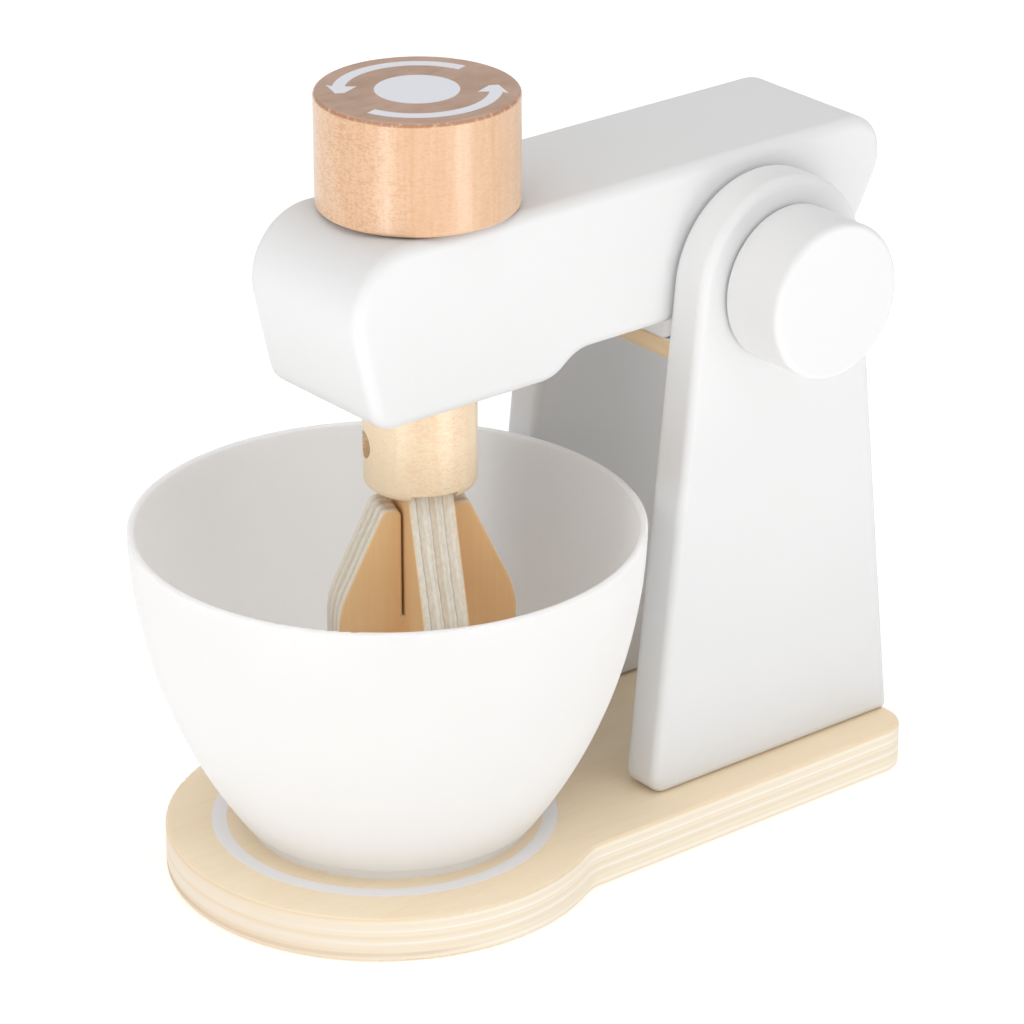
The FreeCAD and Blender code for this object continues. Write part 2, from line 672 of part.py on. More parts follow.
def make_hub_screw():
    """Round-headed screw sunk in the hub's side hole, biting into the shaft."""
    head = doc.addObject("Part::Cylinder", "hub_screw_head")
    shank = doc.addObject("Part::Cylinder", "hub_screw_shank")
    length = "(hub_radius - hub_hole_depth - shaft_radius + hub_screw_bite)"
    bind(head, {"Radius": "hub_screw_head_radius", "Height": "hub_screw_head_height"})
    bind(shank, {"Radius": "hub_screw_radius", "Height": length})
    bind(shank, {"Placement.Base.z": f"-{length}"})
    screw = doc.addObject("Part::Fuse", "hub_screw")
    screw.Base = head
    screw.Tool = shank
    screw.Label = "hub_screw"
    aim = value("blade_turn") - 90
    screw.Placement.Rotation = (FreeCAD.Rotation(Vector(0, 0, 1), aim)
                                .multiply(FreeCAD.Rotation(Vector(0, 1, 0), 90)))
    seat = "(hub_radius - hub_hole_depth)"
    return place(screw, f"{DRIVE_X} + {seat} * cos(blade_turn - 90)",
                 f"{ARM_MID_Y} + {seat} * sin(blade_turn - 90)", f"{HUB_Z} + hub_hole_rise")


# ---- bowl ----

def make_bowl():
    """Half section of the bowl turned about its axis."""
    body = new_body("bowl")

    def wall_x(level, inset="0"):
        radius = f"(belly_radius - {inset})"
        return f"(belly_reach - belly_radius + sqrt({radius} ^ 2 - (belly_level - ({level})) ^ 2))"

    lip = "(bowl_height - bowl_wall / 2)"
    floor = "(foot_recess + bowl_floor)"
    foot_x = f"({wall_x('foot_flare_height')} - foot_step)"
    ring_x = f"({foot_x} - foot_ring_width)"
    section = new_sketch(body, "XZ_Plane", "bowl_sketch")
    add_outline(section, [
        ("0", "foot_recess"),
        (ring_x, "foot_recess"),
        (ring_x, "0"),
        (foot_x, "0"),
        (foot_x, "foot_height"),
        (wall_x("foot_flare_height"), "foot_flare_height", "belly_radius"),
        (wall_x(lip), lip, "lip_round"),
        (wall_x(lip, "bowl_wall"), lip, "-(belly_radius - bowl_wall)"),
        (wall_x(floor, "bowl_wall"), floor),
        ("0", floor),
    ])
    add_feature(body, "Revolution", "bowl_turned", section, None, ReferenceAxis=(section, ["V_Axis"]), Angle=360)
    corner = value(wall_x(floor, "bowl_wall"))
    round_edges(body, "bowl_floor_round", "floor_round",
                lambda edge: near_to(edge.BoundBox.ZMax, value(floor)) and near_to(edge.BoundBox.XMax, corner))
    return place(body, x=f"{LOBE_X} + bowl_shift", z="base_thick")


make_base()
make_post_screws()
make_post("near_post", "pivot_height", True)
make_post("far_post", "(pivot_height - far_head_drop)", False)
make_stretcher()
make_arm()
make_axle()
make_button("dial", "dial", True)
make_button("axle_cap", "cap", False)
make_spacer()
make_knob()
make_shaft()
make_drive_washers()
make_hub()
make_hub_screw()
make_blade("beater_blade_a", BLADE_TOP, "blade_turn + 90", True)
make_blade("beater_blade_b", f"({HUB_BOTTOM} + blade_seat_depth)", "blade_turn", False)
make_blade_dowel()
make_bowl()
doc.recompute()

NODES = [
    "base_board", "post_screws", "near_post", "far_post", "stretcher_board",
    "arm", "axle", "dial", "axle_cap", "pivot_spacer",
    "top_knob", "knob_washer", "drive_shaft", "hub_washer", "beater_hub", "hub_screw",
    "beater_blade_a", "beater_blade_b", "blade_dowel", "bowl",
]

for thing in doc.Objects:
    if "Invalid" in thing.State or "Error" in thing.State:
        raise RuntimeError(f"{thing.Label} did not compute: {thing.State}")

os.makedirs("parts", exist_ok=True)
for node in NODES:
    shape = doc.getObjectsByLabel(node)[0].Shape
    if shape.isNull() or not shape.isValid():
        raise RuntimeError(f"{node} has no valid shape")
    shape.exportStep(f"parts/{node}.step")
    box = shape.BoundBox
    print(f"{node}: {len(shape.Solids)} solid(s), {shape.Volume:.0f} mm3, x {box.XMin:.1f}..{box.XMax:.1f},"
          f" y {box.YMin:.1f}..{box.YMax:.1f}, z {box.ZMin:.1f}..{box.ZMax:.1f}")
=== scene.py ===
import bpy
import bmesh
import math
from mathutils import Matrix, Vector


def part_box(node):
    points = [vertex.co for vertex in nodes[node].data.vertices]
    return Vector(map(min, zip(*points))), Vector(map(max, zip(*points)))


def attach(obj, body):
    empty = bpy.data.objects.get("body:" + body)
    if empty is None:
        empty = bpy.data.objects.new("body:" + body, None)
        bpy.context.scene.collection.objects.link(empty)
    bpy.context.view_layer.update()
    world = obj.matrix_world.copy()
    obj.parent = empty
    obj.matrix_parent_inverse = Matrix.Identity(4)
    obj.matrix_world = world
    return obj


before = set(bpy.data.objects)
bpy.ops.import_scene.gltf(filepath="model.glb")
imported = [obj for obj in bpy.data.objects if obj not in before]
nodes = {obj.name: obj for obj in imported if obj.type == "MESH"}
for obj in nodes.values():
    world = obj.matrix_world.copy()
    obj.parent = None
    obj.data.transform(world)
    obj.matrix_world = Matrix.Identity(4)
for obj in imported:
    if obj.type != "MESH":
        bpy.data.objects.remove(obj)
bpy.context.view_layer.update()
mm = 0.001
print("frame loaded:", len(nodes), "nodes")


# A socket that can be used in sums, so shader maths reads as maths.
class Wire:
    def __init__(self, shader, socket):
        self.shader = shader
        self.socket = socket

    def __add__(self, other):
        return self.shader.maths("ADD", self, other)

    __radd__ = __add__

    def __mul__(self, other):
        return self.shader.maths("MULTIPLY", self, other)

    def __sub__(self, other):
        return self.shader.maths("SUBTRACT", self, other)

    def __truediv__(self, other):
        return self.shader.maths("DIVIDE", self, other)

    def __pow__(self, other):
        return self.shader.maths("POWER", self, other)

    def __abs__(self):
        return self.shader.maths("ABSOLUTE", self)


# Nodes of one tree, added and wired by short calls.
class Wiring:
    def __init__(self, tree):
        self.tree = tree

    def plug(self, target, value):
        if isinstance(value, Wire):
            self.tree.links.new(value.socket, target)
        elif isinstance(value, tuple) and len(value) == 3 and target.type == "RGBA":
            target.default_value = (*value, 1)
        else:
            target.default_value = value

    # One way to add any node: its type, its settings, then its sockets' values or links.
    def add(self, kind, settings=None, inputs=None, output=0):
        node = self.tree.nodes.new("ShaderNode" + kind)
        for name, choice in (settings or {}).items():
            if name == "stops":
                self.setStops(node.color_ramp, choice)
            else:
                setattr(node, name, choice)
        for name, value in (inputs or {}).items():
            self.plug(node.inputs[name], value)
        if output is not None:
            return Wire(self, node.outputs[output])

    def setStops(self, ramp, stops):
        while len(ramp.elements) < len(stops):
            ramp.elements.new(1)
        for element, (place, colour) in zip(ramp.elements, stops):
            element.position = place
            element.color = (*colour, 1) if isinstance(colour, tuple) else (colour, colour, colour, 1)

    def maths(self, operation, first, second=0.0, clamp=False):
        return self.add("Math", {"operation": operation, "use_clamp": clamp}, {0: first, 1: second})

    def clamp(self, value):
        return self.maths("MULTIPLY", value, 1.0, True)

    # Object position in metres, stretched or moved by a Mapping node.
    def place(self, scale=(1, 1, 1), move=(0, 0, 0)):
        spot = self.add("TexCoord", None, None, "Object")
        return self.add("Mapping", None, {"Vector": spot, "Scale": scale, "Location": move})

    def noise(self, scale, detail, roughness=0.5, distortion=0.0, stretch=(1, 1, 1)):
        sockets = {"Vector": self.place(stretch), "Scale": scale, "Detail": detail,
                   "Roughness": roughness, "Distortion": distortion}
        return self.add("TexNoise", None, sockets)

    def ramp(self, factor, stops):
        return self.add("ValToRGB", {"stops": stops}, {0: factor})

    def blend(self, factor, first, second, mode="MIX"):
        settings = {"data_type": "RGBA", "blend_type": mode}
        return self.add("Mix", settings, {0: factor, 6: first, 7: second}, 2)

    def parts(self, vector):
        first = self.add("SeparateXYZ", None, {0: vector})
        return [Wire(self, socket) for socket in first.socket.node.outputs]

    def facing(self):
        return self.parts(self.add("TexCoord", None, None, "Normal"))

    # A soft step at a level, from one value to the other.
    def step(self, value, level, soft, before, after):
        sockets = {"Value": value, "From Min": level - soft, "From Max": level + soft,
                   "To Min": before, "To Max": after}
        return self.add("MapRange", {"interpolation_type": "SMOOTHSTEP"}, sockets)

    def above(self, value, level, soft):
        return self.step(value, level, soft, 0.0, 1.0)

    def below(self, value, level, soft):
        return self.step(value, level, soft, 1.0, 0.0)

    def band(self, value, low, high, soft):
        return self.above(value, low, soft) * self.below(value, high, soft)

    def bump(self, height, strength, depth):
        return self.add("Bump", None, {"Height": height, "Strength": strength, "Distance": depth})


class Shader(Wiring):
    def __init__(self, name):
        self.material = bpy.data.materials.new(name)
        self.material.use_nodes = True
        super().__init__(self.material.node_tree)
        self.tree.nodes.clear()

    # Socket names have underscores for their spaces.
    def principled(self, **inputs):
        sockets = {name.replace("_", " "): value for name, value in inputs.items()}
        return self.add("BsdfPrincipled", None, sockets)

    def cover(self, surface):
        self.add("OutputMaterial", None, {"Surface": surface}, None)
        return self.material

    def finish(self, **inputs):
        return self.cover(self.principled(**inputs))


def dress(material, *names):
    for name in names:
        mesh = nodes[name].data
        mesh.materials.clear()
        mesh.materials.append(material)


# In every table a noise has a scale, a detail and the stretch of its pattern, a name that ends in Level
# holds a level and its softness, and a bump its strength and depth.

# Satin white paint over sanded wood.
whitePaint = {
    "colour": (0.760, 0.760, 0.760),
    "worn": (0.742, 0.742, 0.740),
    "wornAmount": 0.6,
    "roughness": 0.42,
    "roughnessSpread": 0.10,
    "specular": 0.45,
    "cloud": {"scale": 38.0, "detail": 4.0},
    "peel": {"scale": 900.0, "detail": 2.0},
    "grain": {"scale": 260.0, "detail": 3.0, "stretch": (1, 1, 0.12)},
    "peelShare": 0.6,
    "grainShare": 0.4,
    "bump": (0.10, 0.2 * mm),
}


def paintShader(name, look):
    shader = Shader(name)
    cloud = shader.noise(**look["cloud"])
    peel = shader.noise(**look["peel"])
    grain = shader.noise(**look["grain"])
    height = peel * look["peelShare"] + grain * look["grainShare"]
    return shader.finish(
        Base_Color=shader.blend(cloud * look["wornAmount"], look["colour"], look["worn"]),
        Roughness=look["roughness"] + cloud * look["roughnessSpread"],
        Normal=shader.bump(height, *look["bump"]),
        Specular_IOR_Level=look["specular"],
    )


dress(paintShader("whitePaint", whitePaint), "near_post", "far_post", "arm", "dial", "axle_cap")
print("white paint done")

# Birch plywood: face veneer with grain along the board, and plies on the edges, by height in mm.
# Its long sides show sidePlies and its ends endPlies, with a brown band in one low ply on the edges that
# face the nose.
basePlywood = {
    "thick": 12.0,
    "face": (0.985, 0.850, 0.640),
    "faceDark": (0.920, 0.715, 0.480),
    "faceLevel": (0.72, 0.12),
    "streak": {"scale": 700.0, "detail": 4.0, "roughness": 0.6, "stretch": (0.05, 1, 1)},
    "broad": {"scale": 60.0, "detail": 3.0, "distortion": 0.4, "stretch": (0.12, 1, 1)},
    "tint": {"broad": 0.9, "streak": 0.45, "shift": 0.35},
    "pores": {"scale": 2600.0, "detail": 2.0, "stretch": (0.03, 1, 1)},
    "poreLevel": (0.60, 0.05),
    "poreAmount": 0.18,
    "sidePlies": [(0.0, (0.82, 0.68, 0.48)), (0.6, (0.90, 0.80, 0.63)), (1.1, (0.94, 0.87, 0.73)),
                  (1.6, (0.99, 0.96, 0.89)), (2.1, (0.90, 0.82, 0.67)), (3.0, (0.93, 0.86, 0.71)),
                  (3.9, (0.87, 0.78, 0.62)), (4.7, (0.90, 0.82, 0.68)), (5.1, (0.99, 0.96, 0.89)),
                  (5.6, (0.91, 0.83, 0.69)), (6.6, (0.86, 0.77, 0.61)), (7.4, (0.93, 0.85, 0.71)),
                  (8.0, (0.88, 0.79, 0.64)), (8.4, (0.99, 0.96, 0.89)), (8.9, (0.92, 0.84, 0.70)),
                  (10.0, (0.88, 0.80, 0.65)), (10.8, (0.96, 0.90, 0.78)), (11.2, (0.94, 0.84, 0.67)),
                  (11.7, (0.90, 0.74, 0.52))],
    "endPlies": [(0.0, (0.77, 0.62, 0.46)), (0.9, (0.86, 0.75, 0.60)), (1.5, (0.81, 0.64, 0.48)),
                 (2.1, (0.86, 0.77, 0.63)), (3.1, (0.83, 0.69, 0.51)), (3.7, (0.87, 0.78, 0.66)),
                 (5.6, (0.87, 0.79, 0.67)), (6.9, (0.85, 0.70, 0.51)), (7.5, (0.87, 0.78, 0.65)),
                 (9.6, (0.86, 0.77, 0.63)), (10.7, (0.86, 0.74, 0.59)), (11.6, (0.85, 0.69, 0.49))],
    "endPower": 1.5,
    "wobble": {"scale": 22.0, "detail": 2.0},
    "wobbleAmount": 0.5,
    "fibre": {"scale": 1700.0, "detail": 3.0, "roughness": 0.6, "stretch": (0.06, 0.06, 1)},
    "fibreAmount": 0.25,
    "brownBand": (0.56, 0.38, 0.24),
    "brownBandLow": 1.5,
    "brownBandHigh": 2.5,
    "brownBandSoft": 0.35,
    "brownBandSideLevel": (-0.45, 0.35),
    "brownBandAmount": 0.35,
    "patch": {"scale": 16.0, "detail": 1.0},
    "patchLevel": (0.46, 0.06),
    "patchAmount": 0.5,
    "roughness": 0.46,
    "roughnessSpread": 0.12,
    "streakShare": 0.6,
    "fibreShare": 0.4,
    "bump": (0.12, 0.2 * mm),
    "coat": 0.08,
    "coatRoughness": 0.35,
}


# Two scales of grain weighed together, as the share of the darker wood.
def woodTint(shader, broad, streak, look):
    return shader.clamp(broad * look["broad"] + streak * look["streak"] - look["shift"])


def plyStops(plies, thick):
    return [(height / thick, colour) for height, colour in plies]


def baseShader(look):
    shader = Shader("basePlywood")
    height = shader.parts(shader.place((1 / mm, 1 / mm, 1 / mm)))[2]
    noseOn, _, topOn = shader.facing()

    streak = shader.noise(**look["streak"])
    tint = woodTint(shader, shader.noise(**look["broad"]), streak, look["tint"])
    veneer = shader.blend(tint, look["face"], look["faceDark"])
    pores = shader.above(shader.noise(**look["pores"]), *look["poreLevel"]) * look["poreAmount"]
    veneer = shader.blend(pores, veneer, look["faceDark"], "MULTIPLY")

    level = height + (shader.noise(**look["wobble"]) - 0.5) * look["wobbleAmount"]
    side = shader.ramp(level / look["thick"], plyStops(look["sidePlies"], look["thick"]))
    end = shader.ramp(level / look["thick"], plyStops(look["endPlies"], look["thick"]))
    plies = shader.blend(abs(noseOn) ** look["endPower"], side, end)
    fibre = shader.noise(**look["fibre"])
    plies = shader.blend(fibre * look["fibreAmount"], plies, look["faceDark"], "MULTIPLY")

    # A brown band in one low ply, on the edges that face the nose, stronger in patches.
    brownBand = shader.band(level, look["brownBandLow"], look["brownBandHigh"], look["brownBandSoft"])
    brownBand = brownBand * shader.below(noseOn, *look["brownBandSideLevel"])
    patch = shader.above(shader.noise(**look["patch"]), *look["patchLevel"])
    brownBand = brownBand * (look["brownBandAmount"] + patch * look["patchAmount"])
    plies = shader.blend(brownBand, plies, look["brownBand"])

    relief = streak * look["streakShare"] + fibre * look["fibreShare"]
    return shader.finish(
        Base_Color=shader.blend(shader.above(abs(topOn), *look["faceLevel"]), plies, veneer),
        Roughness=look["roughness"] + streak * look["roughnessSpread"],
        Normal=shader.bump(relief, *look["bump"]),
        Coat_Weight=look["coat"],
        Coat_Roughness=look["coatRoughness"],
    )


dress(baseShader(basePlywood), "base_board")
print("base plywood done")

# Blades: orange-tan face veneer, cream plies with thin glue lines on the sawn edges.
bladePlywood = {
    "face": (0.970, 0.670, 0.350),
    "faceDark": (0.900, 0.520, 0.240),
    "faceLevel": (0.72, 0.12),
    "streak": {"scale": 900.0, "detail": 4.0, "roughness": 0.6, "stretch": (1, 1, 0.06)},
    "broad": {"scale": 90.0, "detail": 3.0, "distortion": 0.3, "stretch": (1, 1, 0.15)},
    "tint": {"broad": 1.3, "streak": 0.6, "shift": 0.55},
    "thick": 11.8,
    "plies": [(0.0, (0.92, 0.80, 0.62)), (0.8, (0.96, 0.91, 0.81)), (1.7, (0.97, 0.93, 0.85)),
              (1.9, (0.62, 0.52, 0.40)), (2.2, (0.86, 0.78, 0.65)), (3.3, (0.88, 0.81, 0.69)),
              (3.5, (0.97, 0.93, 0.84)), (4.2, (0.97, 0.93, 0.84)), (4.35, (0.86, 0.79, 0.67)),
              (5.0, (0.96, 0.92, 0.83)), (5.2, (0.60, 0.50, 0.38)), (5.5, (0.84, 0.75, 0.61)),
              (6.6, (0.82, 0.73, 0.59)), (6.9, (0.97, 0.93, 0.84)), (7.7, (0.88, 0.82, 0.71)),
              (8.4, (0.97, 0.94, 0.86)), (8.6, (0.64, 0.54, 0.42)), (8.9, (0.88, 0.80, 0.68)),
              (10.0, (0.92, 0.85, 0.74)), (10.3, (0.97, 0.93, 0.84)), (11.4, (0.94, 0.82, 0.64))],
    "wobble": {"scale": 45.0, "detail": 2.0},
    "wobbleAmount": 0.06,
    "ragged": {"scale": 800.0, "detail": 3.0, "roughness": 0.6, "stretch": (1, 1, 0.35)},
    "raggedAmount": 0.05,
    "fibre": {"scale": 1300.0, "detail": 3.0, "roughness": 0.6, "stretch": (1, 1, 0.1)},
    "fibreColour": (0.84, 0.76, 0.62),
    "fibreLevel": (0.50, 0.10),
    "fibreAmount": 0.45,
    "roughness": 0.5,
    "roughnessSpread": 0.12,
    "bump": (0.12, 0.2 * mm),
}
# The turn of blade B about the shaft in degrees. Blade A stands square to it.
bladeTurn = -112


def bladeShader(name, nodeName, turn, look):
    low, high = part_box(nodeName)
    centre = (low + high) / 2
    angle = math.radians(turn)
    across = (-math.sin(angle), math.cos(angle), 0)
    shader = Shader(name)
    spot = shader.add("TexCoord", None, None, "Object")
    middle = shader.add("VectorMath", {"operation": "SUBTRACT"}, {0: spot, 1: tuple(centre)})
    depth = shader.add("VectorMath", {"operation": "DOT_PRODUCT"}, {0: middle, 1: across}, "Value")
    normal = shader.add("TexCoord", None, None, "Normal")
    faceOn = shader.add("VectorMath", {"operation": "DOT_PRODUCT"}, {0: normal, 1: across}, "Value")

    streak = shader.noise(**look["streak"])
    tint = woodTint(shader, shader.noise(**look["broad"]), streak, look["tint"])
    veneer = shader.blend(tint, look["face"], look["faceDark"])

    wobble = (shader.noise(**look["wobble"]) - 0.5) * look["wobbleAmount"]
    ragged = (shader.noise(**look["ragged"]) - 0.5) * look["raggedAmount"]
    level = depth * (1 / mm / look["thick"]) + 0.5 + wobble + ragged
    plies = shader.ramp(level, plyStops(look["plies"], look["thick"]))
    fibre = shader.above(shader.noise(**look["fibre"]), *look["fibreLevel"]) * look["fibreAmount"]
    plies = shader.blend(fibre, plies, look["fibreColour"], "MULTIPLY")
    return shader.finish(
        Base_Color=shader.blend(shader.above(abs(faceOn), *look["faceLevel"]), plies, veneer),
        Roughness=look["roughness"] + streak * look["roughnessSpread"],
        Normal=shader.bump(streak, *look["bump"]),
    )


dress(bladeShader("bladePlywoodA", "beater_blade_a", bladeTurn + 90, bladePlywood), "beater_blade_a")
dress(bladeShader("bladePlywoodB", "beater_blade_b", bladeTurn, bladePlywood), "beater_blade_b")
print("blade plywood done")

# Turned maple: upright grain, a curly fleck that is strongest on the two quarter-sawn sides, browner end
# grain with a fuzzy rim where it meets the side.
turnedMaple = {
    "side": (0.660, 0.385, 0.212),
    "sidePale": (0.730, 0.505, 0.330),
    "streak": {"scale": 800.0, "detail": 4.0, "roughness": 0.6, "stretch": (1, 1, 0.05)},
    "broad": {"scale": 70.0, "detail": 3.0, "distortion": 0.3, "stretch": (1, 1, 0.2)},
    "tint": {"broad": 1.0, "streak": 1.4, "shift": 0.75},
    "fleck": (0.545, 0.265, 0.112),
    "fleckAmount": 0.55,
    "fleckLevel": (0.53, 0.045),
    "curl": {"scale": 950.0, "detail": 2.0, "roughness": 0.55, "distortion": 1.6,
             "stretch": (0.6, 0.6, 1.5)},
    "quarterTurn": 5,
    "quarterLevel": (1.06, 0.16),
    "quarterShare": 0.55,
    "allRoundShare": 0.45,
    "patch": {"scale": 55.0, "detail": 2.0},
    "patchAmount": 0.5,
    "end": (0.600, 0.400, 0.300),
    "endDark": (0.430, 0.245, 0.150),
    "endLevel": (0.86, 0.08),
    "rays": {"scale": 420.0, "detail": 4.0, "roughness": 0.6, "distortion": 0.6, "stretch": (0.15, 1, 1)},
    "cloud": {"scale": 95.0, "detail": 3.0, "roughness": 0.6},
    "endTint": {"broad": 1.5, "streak": 0.7, "shift": 0.65},
    "rim": (0.420, 0.180, 0.090),
    "rimLevel": (0.14, 0.12),
    "rimAmount": 0.85,
    "fuzz": {"scale": 1100.0, "detail": 2.0, "stretch": (1, 1, 0.5)},
    "fuzzLevel": (0.38, 0.12),
    "roughness": 0.34,
    "roughnessSpread": 0.10,
    "streakShare": 0.6,
    "curlShare": 0.4,
    "bump": (0.10, 0.2 * mm),
    "coat": 0.7,
    "coatRoughness": 0.24,
}


def mapleShader(name, look):
    shader = Shader(name)
    nx, ny, nz = shader.facing()
    streak = shader.noise(**look["streak"])
    tint = woodTint(shader, shader.noise(**look["broad"]), streak, look["tint"])
    side = shader.blend(tint, look["side"], look["sidePale"])

    curl = shader.noise(**look["curl"])
    turn = math.radians(look["quarterTurn"])
    across = abs(nx * math.cos(turn) + ny * math.sin(turn))
    patch = shader.noise(**look["patch"]) * look["patchAmount"]
    quarter = shader.above(across + patch, *look["quarterLevel"])
    share = quarter * look["quarterShare"] + look["allRoundShare"]
    flecks = shader.above(curl, *look["fleckLevel"]) * share
    side = shader.blend(flecks * look["fleckAmount"], side, look["fleck"])

    shade = woodTint(shader, shader.noise(**look["cloud"]), shader.noise(**look["rays"]), look["endTint"])
    end = shader.blend(shade, look["end"], look["endDark"])
    fuzz = shader.above(shader.noise(**look["fuzz"]), *look["fuzzLevel"])
    rim = shader.above(nz, *look["rimLevel"]) * fuzz * look["rimAmount"]
    side = shader.blend(rim, side, look["rim"])
    relief = streak * look["streakShare"] + curl * look["curlShare"]
    return shader.finish(
        Base_Color=shader.blend(shader.above(abs(nz), *look["endLevel"]), side, end),
        Roughness=look["roughness"] + streak * look["roughnessSpread"],
        Normal=shader.bump(relief, *look["bump"]),
        Coat_Weight=look["coat"],
        Coat_Roughness=look["coatRoughness"],
    )


dress(mapleShader("turnedMaple", turnedMaple), "top_knob")
hubMaple = dict(
    turnedMaple,
    side=(0.94, 0.72, 0.47),
    sidePale=(0.95, 0.79, 0.56),
    fleck=(0.86, 0.52, 0.32),
    end=(0.84, 0.60, 0.38),
    endDark=(0.74, 0.48, 0.27),
    rim=(0.78, 0.50, 0.28),
    coat=0.5,
    quarterTurn=70,
    fleckAmount=0.40,
)
dress(mapleShader("hubMaple", hubMaple), "beater_hub")
dowelWood = dict(
    hubMaple,
    side=(0.80, 0.60, 0.40),
    end=(0.62, 0.46, 0.30),
    endDark=(0.50, 0.36, 0.22),
    roughness=0.5,
)
dress(mapleShader("dowelWood", dowelWood), "axle", "drive_shaft", "blade_dowel")
print("turned wood done")

# Stretcher: white paint on its flats, bare wood on its edges, browner where an edge is rounded.
stretcherLook = {
    "paint": (0.85, 0.845, 0.835),
    "paintLevel": (0.75, 0.10),
    "wood": (0.800, 0.620, 0.400),
    "woodDark": (0.640, 0.450, 0.260),
    "streak": {"scale": 900.0, "detail": 4.0, "roughness": 0.6, "stretch": (1, 0.08, 1)},
    "arris": (0.780, 0.440, 0.190),
    "arrisLevel": (0.20, 0.15),
    "arrisAmount": 0.7,
    "roughness": 0.45,
    "roughnessSpread": 0.1,
    "bump": (0.1, 0.2 * mm),
}


def stretcherShader(look):
    shader = Shader("stretcherWood")
    flatOn = abs(shader.facing()[2])
    streak = shader.noise(**look["streak"])
    wood = shader.blend(streak, look["wood"], look["woodDark"])
    arris = shader.above(flatOn, *look["arrisLevel"]) * look["arrisAmount"]
    wood = shader.blend(arris, wood, look["arris"])
    return shader.finish(
        Base_Color=shader.blend(shader.above(flatOn, *look["paintLevel"]), wood, look["paint"]),
        Roughness=look["roughness"] + streak * look["roughnessSpread"],
        Normal=shader.bump(streak, *look["bump"]),
    )


dress(stretcherShader(stretcherLook), "stretcher_board")
print("stretcher done")

# Bowl: matte white shell, whose thin wall lets some light through and whose foot and floor don't.
bowlLook = {
    "colour": (0.830, 0.826, 0.820),
    "shade": (0.812, 0.807, 0.800),
    "shadeAmount": 0.7,
    "cloud": {"scale": 25.0, "detail": 3.0},
    "roughness": 0.45,
    "roughnessSpread": 0.08,
    "specular": 0.4,
    "fine": {"scale": 1400.0, "detail": 2.0},
    "bump": (0.06, 0.1 * mm),
    "glowDepth": 9.0 * mm,
    "wallLevel": (26.0 * mm, 12.0 * mm),
}


def bowlShader(look):
    shader = Shader("bowlWhite")
    cloud = shader.noise(**look["cloud"])
    height = shader.parts(shader.place())[2]
    surface = {
        "Base_Color": shader.blend(cloud * look["shadeAmount"], look["colour"], look["shade"]),
        "Roughness": look["roughness"] + cloud * look["roughnessSpread"],
        "Normal": shader.bump(shader.noise(**look["fine"]), *look["bump"]),
        "Specular_IOR_Level": look["specular"],
    }
    glow = {"Subsurface_Weight": 1.0, "Subsurface_Radius": (1, 1, 1), "Subsurface_Scale": look["glowDepth"]}
    thick = shader.principled(**surface)
    thin = shader.principled(**surface, **glow)
    wall = shader.above(height, *look["wallLevel"])
    return shader.cover(shader.add("MixShader", None, {0: wall, 1: thick, 2: thin}))


dress(bowlShader(bowlLook), "bowl")

# Small parts: nylon spacers and washers, zinc screws.
nylonLook = {
    "colour": (0.70, 0.70, 0.68),
    "darker": 0.8,
    "cloud": {"scale": 600.0, "detail": 3.0},
    "metallic": 0.0,
    "roughness": 0.5,
    "roughnessSpread": 0.15,
    "bump": (0.08, 0.1 * mm),
}
zincLook = dict(nylonLook, colour=(0.62, 0.62, 0.60), metallic=1.0, roughness=0.3)


def smallShader(name, look):
    shader = Shader(name)
    cloud = shader.noise(**look["cloud"])
    darker = tuple(part * look["darker"] for part in look["colour"])
    return shader.finish(
        Base_Color=shader.blend(cloud, look["colour"], darker),
        Metallic=look["metallic"],
        Roughness=look["roughness"] + cloud * look["roughnessSpread"],
        Normal=shader.bump(cloud, *look["bump"]),
    )


dress(smallShader("nylon", nylonLook), "pivot_spacer", "knob_washer", "hub_washer")
dress(smallShader("zinc", zincLook), "post_screws", "hub_screw")
print("bowl and small parts done")

# Printed marks: a thin layer of pale grey paint. Sizes are radii from the mark's centre, and an arrow's
# tail, wing, neck and tip are angles in degrees.
printLook = {
    "knob": (0.81, 0.82, 0.87),
    "ring": (0.93, 0.92, 0.94),
    "thick": 0.05 * mm,
    "speck": {"scale": 1800.0, "detail": 2.0},
    "speckColour": (0.94, 0.94, 0.94),
    "speckAmount": 0.8,
    "roughness": 0.45,
    "roughnessSpread": 0.1,
    "bump": (0.05, 0.1 * mm),
}
ringLook = {"lobe": 55.6 * mm, "outer": 43.94 * mm, "inner": 40.1 * mm, "steps": 160}
discLook = {"radius": 10.3 * mm, "steps": 96}
arrowLook = {
    "inner": 17.4 * mm,
    "outer": 20.5 * mm,
    "wingInner": 14.6 * mm,
    "wingOuter": 22.0 * mm,
    "tipInner": 17.4 * mm,
    "tipOuter": 19.7 * mm,
    "tail": 17,
    "wing": 133.5,
    "neck": 135,
    "tip": 150,
    "steps": 40,
}
fullTurn = 2 * math.pi


def printShader(name, colour, look):
    shader = Shader(name)
    speck = shader.noise(**look["speck"])
    return shader.finish(
        Base_Color=shader.blend(speck * look["speckAmount"], colour, look["speckColour"], "MULTIPLY"),
        Roughness=look["roughness"] + speck * look["roughnessSpread"],
        Normal=shader.bump(speck, *look["bump"]),
    )


def makePrint(name, mesh, material, body):
    thick = bmesh.ops.extrude_face_region(mesh, geom=mesh.faces[:])
    raised = [item for item in thick["geom"] if isinstance(item, bmesh.types.BMVert)]
    bmesh.ops.translate(mesh, verts=raised, vec=(0, 0, printLook["thick"]))
    bmesh.ops.recalc_face_normals(mesh, faces=mesh.faces[:])
    data = bpy.data.meshes.new(name)
    mesh.to_mesh(data)
    mesh.free()
    data.materials.append(material)
    piece = bpy.data.objects.new(name, data)
    bpy.context.scene.collection.objects.link(piece)
    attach(piece, body)


def polar(centre, radius, angle):
    return centre + radius * Vector((math.cos(angle), math.sin(angle), 0))


